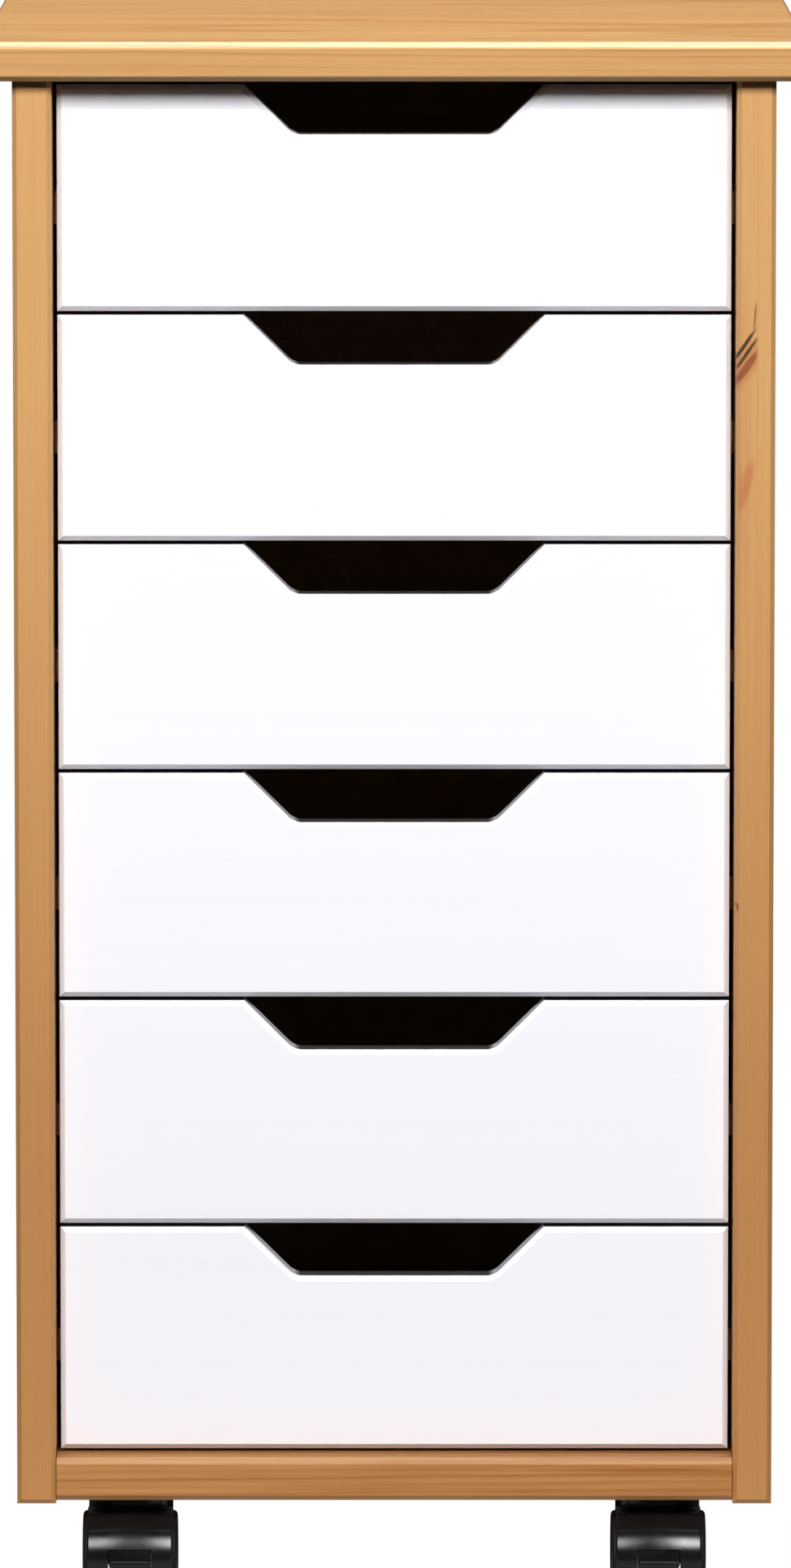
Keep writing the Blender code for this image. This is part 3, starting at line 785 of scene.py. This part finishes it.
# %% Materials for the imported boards
for name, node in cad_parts.items():
    if node.hide_render:
        continue
    if "_side_" in name:
        finish = pine_box_side
    elif name.startswith("drawer") and name.endswith("_back"):
        finish = pine_box_back
    elif name.endswith("_bottom") or name == "back_panel":
        finish = brown_board
    else:
        finish = steel
    node.data.materials.clear()
    node.data.materials.append(finish)

# %% [markdown]
# ## The castors
# A twin-wheel castor is a moulded hood with a wheel on each side. The hood's section is drawn once and
# swung round the axle. It bulges a little across its width, which makes its highlight dim in the middle. A
# web below the hood holds the axle, and a round neck on top of it turns in the plate.

# %% Castor sizes
wheel_radius = 0.020
castor_trail = 0.016  # the axle lies this far ahead of the swivel
hood_inner_radius = 0.0208
hood_radius = 0.023
hood_crown = 0.0010
hood_width = 0.0395
hood_edge_round = 0.0006
hood_front_angle = -22.0
hood_rear_angle = 160.0
hood_steps = 56
crown_steps = 16
web_width = 0.019
web_hub_radius = 0.0085
web_angle_inset = 4.0
neck_front = 0.012
neck_rear = 0.013
swivel_radius = 0.0197
swivel_low = 0.042
neck_low = 0.0352
neck_seat_radius = 0.0217
swivel_ease = 0.0005
stem_radius = 0.004
axle_bore = 0.0025
slot_width = 0.020
slot_rise = 0.0056
slot_inset = 0.0045
fork_width = 0.0106
fork_depth = 0.0072
pin_ahead = 0.0125
pin_rise = 0.0005
pin_radius = 0.0015
turned_steps = 64
seat_gap = 0.0003  # between pieces that rest on each other
plate_low, plate_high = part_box("castor_front_left_plate")
swivel_high = plate_low.z - seat_gap
axle_place = Vector((0, -castor_trail, wheel_radius))
pin_place = axle_place + Vector((0, -pin_ahead, pin_rise))


def ring_point(along, radius, degrees):
    """A point round the X axis: 0 degrees is ahead, at -Y, and 90 degrees is up."""
    angle = math.radians(degrees)
    return Vector((along, -radius * math.cos(angle), radius * math.sin(angle)))


def swung(profile, steps, first, last):
    """Swings a closed section of (place along X, radius) round the axle, from one angle to another."""
    bm = bmesh.new()
    face = bm.faces.new([bm.verts.new(ring_point(along, radius, first)) for along, radius in profile])
    sweep = math.radians(last - first)
    bmesh.ops.spin(bm, geom=[face], axis=(-1, 0, 0), angle=sweep, steps=steps)
    return face_out(bm)


def full_turn(profile, steps):
    """Turns an open section that starts and ends on the X axis right round."""
    bm = bmesh.new()
    verts = [bm.verts.new(ring_point(along, radius, 0.0)) for along, radius in profile]
    edges = [bm.edges.new(pair) for pair in zip(verts, verts[1:])]
    bmesh.ops.spin(bm, geom=verts + edges, axis=(-1, 0, 0), angle=math.tau, steps=steps, use_merge=True)
    bmesh.ops.remove_doubles(bm, verts=bm.verts, dist=touch)
    return face_out(bm)


def swept_across(outline, width):
    """A side view of (y, z) points made this wide across X."""
    return extruded([(-width / 2, y, z) for y, z in outline], (width, 0, 0))


# %% Castor housing
def hood_shell():
    half = hood_width / 2
    shares = [2 * step / crown_steps - 1 for step in range(crown_steps + 1)]
    outer = [(share * (half - hood_edge_round), hood_radius - hood_crown * share**2) for share in shares]
    edge = hood_radius - hood_crown - hood_edge_round
    section = [(-half, edge)] + outer + [(half, edge), (half, hood_inner_radius), (-half, hood_inner_radius)]
    shell = swung(section, hood_steps, hood_front_angle, hood_rear_angle)
    return moved(shell, axle_place)


def cross_bar(radius, middle, half_length, steps=turned_steps):
    """A round bar along X, centred on a point."""
    reach = Vector((half_length, 0, 0))
    return disc(radius, middle - reach, middle + reach, steps)


def side_point(radius, degrees):
    point = axle_place + ring_point(0, radius, degrees)
    return (point.y, point.z)


def web_plate():
    radius = (hood_inner_radius + hood_radius - hood_crown) / 2
    neck_angle = math.degrees(math.acos((neck_front - castor_trail) / radius))
    first = hood_front_angle + web_angle_inset
    angles = [first + (neck_angle - first) * step / hood_steps for step in range(hood_steps + 1)]
    arc = [side_point(radius, angle) for angle in angles]
    neck_top = (swivel_low + swivel_high) / 2
    rear = side_point(radius, hood_rear_angle - web_angle_inset)
    outline = [(axle_place.y, axle_place.z)] + arc + [(-neck_front, neck_top), (neck_rear, neck_top), rear]
    return swept_across(outline, web_width)


def castor_neck():
    """The swivel disc and the round neck below it, hollowed to sit on the hood."""
    bm = disc(swivel_radius, (0, 0, neck_low), (0, 0, swivel_high), turned_steps)
    soften(bm, swivel_ease, lambda co: near(co.z, swivel_high), 3)
    return carved(bm, cut=[cross_bar(neck_seat_radius, axle_place, hood_width, 2 * turned_steps)])


def castor_housing(braked):
    hub = cross_bar(web_hub_radius, axle_place, web_width / 2)
    stem = disc(stem_radius, (0, 0, swivel_low), (0, 0, plate_high.z), turned_steps)
    bore = cross_bar(axle_bore, axle_place, web_width / 2 + overrun)
    housing = carved(hood_shell(), joined=[web_plate(), hub, castor_neck(), stem], cut=[bore])
    if not braked:
        return housing
    ahead = axle_place.y - hood_radius - overrun
    high = axle_place.z + slot_rise
    slot_end = axle_place.y - hood_inner_radius + slot_inset
    slot = block((-slot_width / 2, ahead, 0), (slot_width / 2, slot_end, high))
    fork = block((-fork_width / 2, ahead, 0), (fork_width / 2, pin_place.y + fork_depth, high))
    pin = cross_bar(pin_radius, pin_place, (fork_width + web_width) / 4, turned_steps // 2)
    return carved(carved(housing, cut=[slot, fork]), joined=[pin])


# %% [markdown]
# ## The wheels
# A wheel is turned: a cap over the axle's end, a shallow dish, a rounded shoulder and the tread, then back
# inside to a hub that turns on the axle. Six ribs stiffen its hidden side, as in most moulded wheels.

# %% Wheels
wheel_face = 0.022
wheel_rim_inner = 0.011
wheel_rim_thickness = 0.0032
wheel_face_thickness = 0.004
wheel_edge_round = 0.002
wheel_edge_steps = 5
wheel_dish = 0.0006
dish_margin = 0.0012
hub_radius = 0.0055
hub_inner = 0.0098
cap_radius = 0.0065
cap_groove = 0.0004
axle_end_cover = 0.0028
rib_count = 6
rib_thickness = 0.0012
rib_clearance = 0.0012  # the ribs stop this far from the rim's inner edge
wheel_steps = 96


def wheel_section():
    """Half the section of a right-hand wheel, from its cap to the end of its bore."""
    rim_inside = wheel_radius - wheel_rim_thickness
    face_inside = wheel_face - wheel_face_thickness
    bore_end = wheel_face - axle_end_cover
    dish = wheel_face - wheel_dish
    corner = Vector((wheel_face - wheel_edge_round, wheel_radius - wheel_edge_round))
    shoulder = []
    for step in range(wheel_edge_steps + 1):
        angle = math.pi / 2 * step / wheel_edge_steps
        shoulder.append(corner + wheel_edge_round * Vector((math.cos(angle), math.sin(angle))))
    return [
        (dish, 0),
        (dish, cap_radius - cap_groove),
        (dish - cap_groove, cap_radius),
        (dish, cap_radius + cap_groove),
        (dish, corner.y - dish_margin - wheel_dish),
        (wheel_face, corner.y - dish_margin),
        *shoulder,
        (wheel_rim_inner + cap_groove, wheel_radius),
        (wheel_rim_inner, wheel_radius - cap_groove),
        (wheel_rim_inner, rim_inside),
        (face_inside, rim_inside),
        (face_inside, hub_radius),
        (hub_inner, hub_radius),
        (hub_inner, axle_bore),
        (bore_end, axle_bore),
        (bore_end, 0),
    ]


def wheel_mesh():
    ribs = []
    reach = (hub_radius - overrun / 4, wheel_radius - wheel_rim_thickness / 2)
    for index in range(rib_count):
        rib = block(
            (wheel_rim_inner + rib_clearance, -rib_thickness / 2, reach[0]),
            (wheel_face - wheel_face_thickness / 2, rib_thickness / 2, reach[1]),
        )
        turn = Matrix.Rotation(math.tau * index / rib_count, 4, "X")
        bmesh.ops.transform(rib, matrix=turn, verts=rib.verts)
        ribs.append(rib)
    return carved(full_turn(wheel_section(), wheel_steps), joined=ribs)


def paint_tread(piece, centre):
    """Marks the vertices at the wheel's rim with 1 and all others with 0."""
    mask = piece.data.attributes.new("tread", "FLOAT", "POINT")
    shoulder = wheel_radius - wheel_edge_round / 2
    for vert, item in zip(piece.data.vertices, mask.data):
        item.value = float(math.hypot(vert.co.y - centre.y, vert.co.z - centre.z) > shoulder)


# %% [markdown]
# ## The brake lever
# A tab fills the slot in a front castor's hood: a curved shield that follows the hood's surface, and below
# it a small ridged pedal that a toe presses down. The lever turns on a pin in the hood's fork.

# %% Brake lever
lever_play = 0.0004
lever_sink = 0.0004
lever_wall = 0.0013
knuckle_wall = 0.0012
arm_height = 0.0030
pedal_reach = 0.0042
pedal_rise = 0.0003
pedal_thickness = 0.0020
pedal_round = 0.0003
ridge_count = 3
ridge_height = 0.0003
ridge_radius = 0.00045
ridge_inset = 0.0012
ridge_first = 0.00088
ridge_pitch = 0.0011
ridge_steps = 12
lever_steps = 10


def brake_lever():
    outer = hood_radius - hood_crown - lever_sink
    inner = outer - lever_wall
    top_angle = math.degrees(math.asin((slot_rise - lever_play) / outer))
    root_angle = math.degrees(math.asin(pedal_rise / outer))
    low_angle = math.degrees(math.asin((pedal_rise - pedal_thickness) / inner))
    tip = axle_place.y - hood_radius - pedal_reach
    pedal_top = axle_place.z + pedal_rise
    shares = [step / lever_steps for step in range(lever_steps + 1)]
    shield = [side_point(outer, top_angle + (root_angle - top_angle) * share) for share in shares]
    behind = [side_point(inner, low_angle + (top_angle - low_angle) * share) for share in shares]
    outline = shield + [(tip, pedal_top), (tip, pedal_top - pedal_thickness)] + behind
    bm = swept_across(outline, slot_width - 2 * lever_play)
    soften(bm, pedal_round, lambda co: near(co.y, tip), 2)
    half = fork_width / 2 - lever_play
    bore_radius = pin_radius + seat_gap
    knuckle = cross_bar(bore_radius + knuckle_wall, pin_place, half, turned_steps // 2)
    bore = cross_bar(bore_radius, pin_place, half + overrun, turned_steps // 2)
    shield_middle = axle_place.y - outer + lever_wall / 2
    low, high = pin_place.z - arm_height / 2, pin_place.z + arm_height / 2
    arm = block((-half, shield_middle, low), (half, pin_place.y, high))
    ridges = []
    for index in range(ridge_count):
        middle = Vector((0, tip + ridge_first + ridge_pitch * index, pedal_top - ridge_height / 2))
        ridges.append(cross_bar(ridge_radius, middle, slot_width / 2 - ridge_inset, ridge_steps))
    return carved(bm, joined=[arm, knuckle, *ridges], cut=[bore])


# %% [markdown]
# ## Screws and nails
# A plate looks unfinished without its fasteners. One head with a cross recess serves for most screws, and a
# nail is a shallow dome. The heads that never move apart are joined into a single piece.

# %% Screw and nail heads
recess_depth_share = 0.65
recess_length_share = 0.62
recess_width_share = 0.16
head_steps = 24


def dome(radius, height):
    """A shallow domed head that stands on the XY plane, with +Z outwards."""
    bm = bmesh.new()
    bmesh.ops.create_uvsphere(bm, u_segments=head_steps, v_segments=12, radius=radius)
    bmesh.ops.scale(bm, vec=(1, 1, height / radius), verts=bm.verts)
    options = {"geom": bm.verts[:] + bm.edges[:] + bm.faces[:], "clear_outer": True}
    cut = bmesh.ops.bisect_plane(bm, plane_co=(0, 0, 0), plane_no=(0, 0, -1), **options)
    rim = [item for item in cut["geom_cut"] if isinstance(item, bmesh.types.BMEdge)]
    bmesh.ops.contextual_create(bm, geom=rim)
    return face_out(bm)


def cross_head(radius, height):
    floor = height - height * recess_depth_share
    length, width = radius * recess_length_share, radius * recess_width_share
    bars = [block((-x, -y, floor), (x, y, height + overrun)) for x, y in ((length, width), (width, length))]
    return carved(dome(radius, height), cut=bars)


def add_heads(name, head, places, outwards):
    """Adds one piece with a head at each place, facing outwards."""
    turn = Vector(outwards).to_track_quat("Z", "Y").to_matrix().to_4x4()
    mesh = bpy.data.meshes.new("head")
    together = bmesh.new()
    for place in places:
        copy = head.copy()
        bmesh.ops.transform(copy, matrix=Matrix.Translation(place) @ turn, verts=copy.verts)
        copy.to_mesh(mesh)
        copy.free()
        together.from_mesh(mesh)
    bpy.data.meshes.remove(mesh)
    add_piece(name, together, steel, "carcase")


# %% The four castors
housings = {"front": castor_housing(True), "rear": castor_housing(False)}
right_wheel = wheel_mesh()
lever = brake_lever()
plate_screw = cross_head(radius=0.0036, height=0.0016)
plate_screw_pitch = 0.034

for row in ("front", "rear"):
    for side in ("left", "right"):
        castor = f"castor_{row}_{side}"
        low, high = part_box(f"{castor}_plate")
        swivel = Vector(((low.x + high.x) / 2, (low.y + high.y) / 2, 0))
        fork = f"{castor}_fork"
        hood = moved(housings[row], swivel)
        add_piece(f"{castor}_hood", hood, hood_plastic, fork, [f"{castor}_housing"])
        for hand in ("left", "right"):
            node = f"{castor}_wheel_{hand}"
            bm = right_wheel.copy()
            if hand == "left":
                bmesh.ops.transform(bm, matrix=Matrix.Rotation(math.pi, 4, "Z"), verts=bm.verts)
            centre = swivel + axle_place
            bmesh.ops.translate(bm, vec=centre, verts=bm.verts)
            wheel = add_piece(f"{node}_turned", bm, tyre_plastic, node, [node])
            paint_tread(wheel, centre)
        if row == "front":
            node = f"{castor}_brake_lever"
            add_piece(f"{node}_tab", moved(lever, swivel), hood_plastic, node, [node])
        half = plate_screw_pitch / 2
        places = [swivel + Vector((x * half, y * half, low.z)) for x in (-1, 1) for y in (-1, 1)]
        add_heads(f"{castor}_screws", plate_screw, places, (0, 0, -1))
print("a housing has", len(housings["front"].faces), "faces and a wheel", len(right_wheel.faces))

# %% Strip screws, side screws and back nails
strip_screw = cross_head(radius=0.0032, height=0.0004)
strip_screw_margin = 0.035
socket_radius = 0.0045
socket_height = 0.0004
hex_radius = 0.0021
nail_head = dome(radius=0.0017, height=0.0006)
nail_pitch = 0.078
nail_margin = 0.009
side_screw_margin = 0.070

hex_recess = disc(hex_radius, (0, 0, -overrun), (0, 0, overrun), 6)
side_screw = carved(dome(socket_radius, socket_height), cut=[hex_recess])
strip_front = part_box("drawer_1_front")[1].y
base_middle = (base_low.z + base_high.z) / 2

for side, name in ((-1, "left"), (1, "right")):
    low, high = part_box(f"side_panel_{name}")
    tip, outer = (low.x, high.x) if side > 0 else (high.x, low.x)
    front, rear = strip_front + strip_screw_margin, high.y - runner_rear_margin - strip_screw_margin
    for number in range(1, drawer_count + 1):
        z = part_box(f"drawer_{number}_side_left")[0].z + runner_rise + runner_height / 2
        places = [Vector((tip, y, z)) for y in (front, (front + rear) / 2, rear)]
        add_heads(f"runner_{number}_{name}_screws", strip_screw, places, (-side, 0, 0))
    ys = (low.y + side_screw_margin, high.y - side_screw_margin)
    places = [Vector((outer, y, base_middle)) for y in ys]
    add_heads(f"side_screws_{name}", side_screw, places, (side, 0, 0))


def nail_row(low, high):
    """Places along one edge, all about nail_pitch apart."""
    length = high - low - 2 * nail_margin
    count = round(length / nail_pitch)
    return [low + nail_margin + length * index / count for index in range(count + 1)]


back_low, back_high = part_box("back_panel")
upright = nail_row(back_low.z, back_high.z)
lying = nail_row(back_low.x, back_high.x)
nails = [Vector((x, back_high.y, z)) for z in upright for x in (lying[0], lying[-1])]
nails += [Vector((x, back_high.y, upright[0])) for x in lying[1:-1]]
add_heads("back_nails", nail_head, nails, (0, 1, 0))
print("nails:", len(nails))

# %% [markdown]
# ## Floor and background
# The picture stands on pure white, yet its shadows are deep: the room gave back little light. So the floor
# and the world are dark for the light that surfaces scatter, and plain white for the camera. Round each
# castor a mask lets the dark floor through to the camera, as a painted contact shadow.

# %% Floor and world
floor_size = 60.0
floor_colour = (0.035, 0.035, 0.037, 1.0)
plain_white = (1.0, 1.0, 1.0, 1.0)
ambient = (0.93, 0.96, 1.0, 1.0)
ambient_level = 0.030
shadow_share = 0.45
shadow_reach = 0.032
shadow_core = 0.012
castor_x = 0.123
castor_y_middle = -0.011
castor_y_half = 0.137


def white_for_camera(owner, plain_shader, output, lit, white, shown=None):
    """Shows white to camera and glass rays, and to all other rays a darker shader."""
    owner.use_nodes = True
    nodes = Nodes(owner.node_tree)
    placed = nodes.tree.nodes
    placed.remove(placed[plain_shader])
    rays = nodes.by_name(nodes.add("LightPath").socket.node)
    seen = nodes.math("MINIMUM", rays["Is Camera Ray"] + rays["Is Transmission Ray"], 1.0)
    share = seen * shown(nodes) if shown else seen
    bright = nodes.add(white, {"Color": plain_white, "Strength": 1.0})
    surface = nodes.add("MixShader", {0: share, 1: nodes.add(*lit), 2: bright})
    nodes.link(surface, placed[output].inputs["Surface"])


# paints a contact shadow: the camera's white floor is dimmed near each castor
def away_from_castor(nodes):
    """1 on the open floor and less at a castor's foot. The cart is symmetrical, so one quarter is enough."""
    x, y, _ = nodes.split(nodes.add("NewGeometry", output="Position"))
    side = nodes.math("ABSOLUTE", x) - castor_x
    along = nodes.math("ABSOLUTE", y - castor_y_middle) - castor_y_half
    reach = nodes.length(nodes.join(side, along, 0.0))
    return 1.0 - nodes.ranged(reach, shadow_core, shadow_reach, 1.0, 0.0, smooth=True) * shadow_share


floor_mesh = bmesh.new()
bmesh.ops.create_grid(floor_mesh, x_segments=1, y_segments=1, size=floor_size / 2)
floor = mesh_object("floor", floor_mesh)
floor_material = bpy.data.materials.new("floor")
lit = ("BsdfDiffuse", {"Color": floor_colour})
ends = ("Principled BSDF", "Material Output")
white_for_camera(floor_material, *ends, lit, "Emission", away_from_castor)
floor.data.materials.append(floor_material)

world = bpy.data.worlds.new("studio")
bpy.context.scene.world = world
lit = ("Background", {"Color": ambient, "Strength": ambient_level})
white_for_camera(world, "Background", "World Output", lit, "Background")

# %% [markdown]
# ## Lights
# The shadow under the top's overhang is deep down to 8 mm below the top and has gone at 17 mm, on fronts
# that lie 31 mm back, so the main light stands 15 to 30 degrees above the horizon. Two softboxes fill that
# range. A third hangs overhead for the top, and a glow on the floor lights the base's lower edges. The
# bands on the hoods fade out at both ends, so they come from two diffusers that are bright in the middle
# and that only reflections see. Two boxes behind the cart are there for the other views.

# %% Lights
def soften_rim(lamp):
    """Makes a lamp bright in its middle and dark at its rim."""
    lamp.use_nodes = True
    nodes = Nodes(lamp.node_tree)
    across, along, _ = nodes.split(nodes.add("NewGeometry", output="Parametric"))
    level = 1.0
    for share in (across, along):
        offset = share * 2.0 - 1.0
        hill = 1.0 - offset * offset
        level = hill * hill * level
    nodes.link(level, lamp.node_tree.nodes["Emission"].inputs["Strength"])


light_table = (
    # name, place, point it aims at, width, height, radiance, what it lights
    ("left_softbox", (-0.50, -2.70, 1.73), (0.0, -0.17, 0.50), 0.60, 0.70, 37.6, "all but gloss"),
    ("right_softbox", (0.50, -2.70, 1.73), (0.0, -0.17, 0.50), 0.60, 0.70, 37.6, "all but gloss"),
    ("overhead", (0.0, -0.10, 1.95), (0.0, -0.10, 0.0), 0.80, 0.56, 14.8, "all"),
    ("floor_glow", (0.0, -0.17, 0.001), (0.0, -0.17, 1.0), 0.50, 0.24, 0.38, "all"),
    ("left_diffuser", (-1.75, -6.60, 4.45), (0.0, -0.17, 0.03), 2.60, 4.80, 15.5, "gloss"),
    ("right_diffuser", (1.60, -6.60, 4.45), (0.0, -0.17, 0.03), 2.50, 4.80, 24.0, "gloss"),
    ("left_rear", (-2.20, 2.20, 1.70), (0.0, 0.0, 0.35), 1.20, 1.20, 12.5, "all but gloss"),
    ("right_rear", (2.20, 2.20, 1.70), (0.0, 0.0, 0.35), 1.20, 1.20, 12.5, "all but gloss"),
)
for name, place, aim, width, height, radiance, lit_by in light_table:
    lamp = bpy.data.lights.new(name, "AREA")
    lamp.shape = "RECTANGLE"
    lamp.size = width
    lamp.size_y = height
    lamp.energy = radiance * math.pi * width * height
    holder = scene_object(name, lamp)
    holder.location = place
    holder.rotation_euler = (Vector(aim) - Vector(place)).to_track_quat("-Z", "Y").to_euler()
    holder.visible_camera = False
    holder.visible_glossy = lit_by != "all but gloss"
    holder.visible_diffuse = lit_by != "gloss"
    if lit_by == "gloss":
        soften_rim(lamp)

bpy.context.scene.view_settings.view_transform = "Standard"
